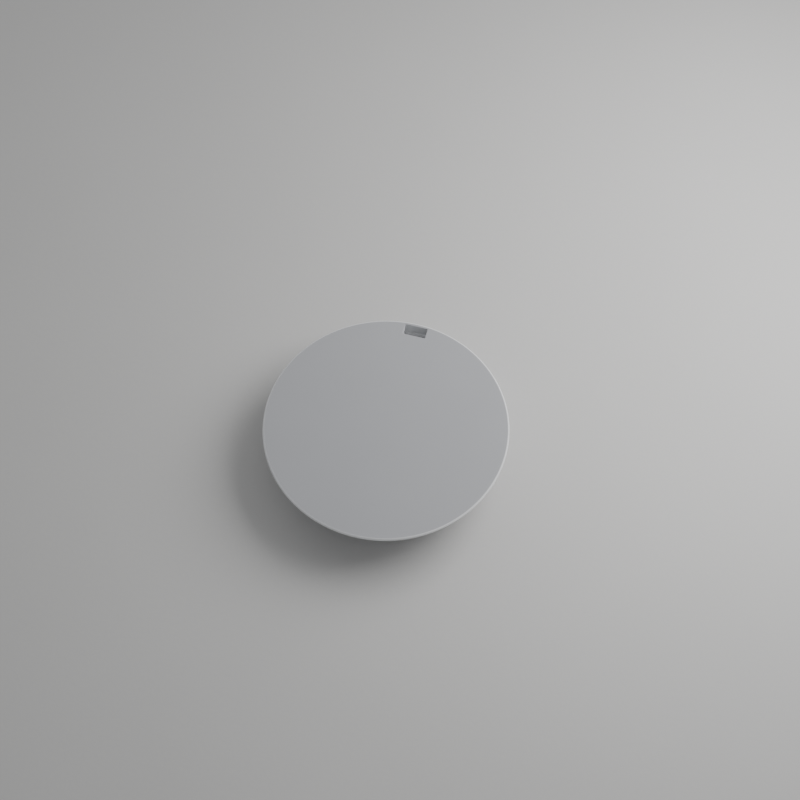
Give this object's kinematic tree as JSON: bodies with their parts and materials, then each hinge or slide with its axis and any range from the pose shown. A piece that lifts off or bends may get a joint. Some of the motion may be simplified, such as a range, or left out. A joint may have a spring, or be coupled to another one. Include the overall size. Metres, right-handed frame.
{
  "type": "bluetooth tracker tag",
  "caption": "Flat round tracker tag: a pressable face over a saucer-shaped shell, with a strap slot in its rim and a screw-in battery door in its base.",
  "frame": {"origin": "centre of the base, on the surface that the tag lies on", "axes": "+Z out of the flat face, +Y towards the strap slot, +X to the right when looking at the face with the slot at the top"},
  "size_m": [0.038, 0.038, 0.008],
  "materials": {
    "cover_plastic": "fine matt moulded, white",
    "shell_plastic": "fine matt moulded, white",
    "inner_plastic": "plain moulded, off-white",
    "foam_seal": "closed-cell foam, charcoal",
    "soft_rubber": "moulded silicone, dark grey",
    "nickel": "nickel-plated leaf",
    "circuit_board": "green solder mask over glass fibre",
    "screw_steel": "zinc-plated",
    "chip_resin": "black moulding compound",
    "crystal_can": "bright plated lid",
    "aerial_ceramic": "glazed ceramic with tinned ends",
    "ferrite": "dark ferrite",
    "capacitor_ceramic": "tan ceramic with tinned ends",
    "gold_plate": "gold-plated",
    "switch_plastic": "black nylon",
    "spring_steel": "bright stainless",
    "sounder_brass": "rolled brass",
    "sounder_ceramic": "silvered ceramic",
    "cell_steel": "nickel-plated steel",
    "cell_plastic": "natural polypropylene",
    "cathode_mix": "pressed black powder",
    "separator_film": "thin non-woven",
    "lithium": "soft dull metal"
  },
  "bodies": {
    "rear_body": {"rear_shell": "shell_plastic", "cover_gasket": "foam_seal", "battery_cradle": "inner_plastic", "positive_contact": "nickel", "negative_contact": "nickel", "pcb": "circuit_board", "pcb_screws": "screw_steel", "soc_chip": "chip_resin", "boost_chip": "chip_resin", "main_crystal": "crystal_can", "clock_crystal": "crystal_can", "chip_antenna": "aerial_ceramic", "power_inductor": "ferrite", "capacitors": "capacitor_ceramic", "resistors": "chip_resin", "test_pads": "gold_plate", "buzzer_contacts": "gold_plate", "switch_base": "switch_plastic", "switch_dome": "spring_steel", "switch_frame": "spring_steel"},
    "cover_body": {"front_cover": "cover_plastic", "button_pad": "soft_rubber", "buzzer_ring": "foam_seal", "buzzer_plate": "sounder_brass", "buzzer_ceramic": "sounder_ceramic"},
    "plunger_body": {"switch_plunger": "switch_plastic"},
    "cell_body": {"cell_can": "cell_steel", "cell_cap": "cell_steel", "cell_gasket": "cell_plastic", "cathode_pellet": "cathode_mix", "separator": "separator_film", "lithium_disc": "lithium"},
    "door_body": {"battery_door": "shell_plastic", "door_seal": "soft_rubber"}
  },
  "joints": [
    {"name": "cover_press", "type": "slide", "parent": "rear_body", "child": "cover_body", "axis": [0, 0, -1], "range_m": [0, 0.0002], "stiffness_N_per_m": 4000, "deforming": ["cover_gasket", "buzzer_contacts", "switch_dome"]},
    {"name": "switch_press", "type": "slide", "parent": "rear_body", "child": "plunger_body", "axis": [0, 0, -1], "range_m": [0, 0.0002]},
    {"name": "cell_drop", "type": "slide", "parent": "rear_body", "child": "cell_body", "axis": [0, 0, -1], "range_m": [0, 0.006]},
    {"name": "door_turn", "type": "hinge", "parent": "cell_body", "child": "door_body", "pos_m": [0, 0, 0.0011], "axis": [0, 0, -1], "range_deg": [0, 120.01]}
  ],
  "couplings": [
    {"joint": "switch_press", "follows": "cover_press", "ratio": 1},
    {"joint": "door_turn", "follows": "cell_drop", "rad_per_m": 349.07}
  ]
}
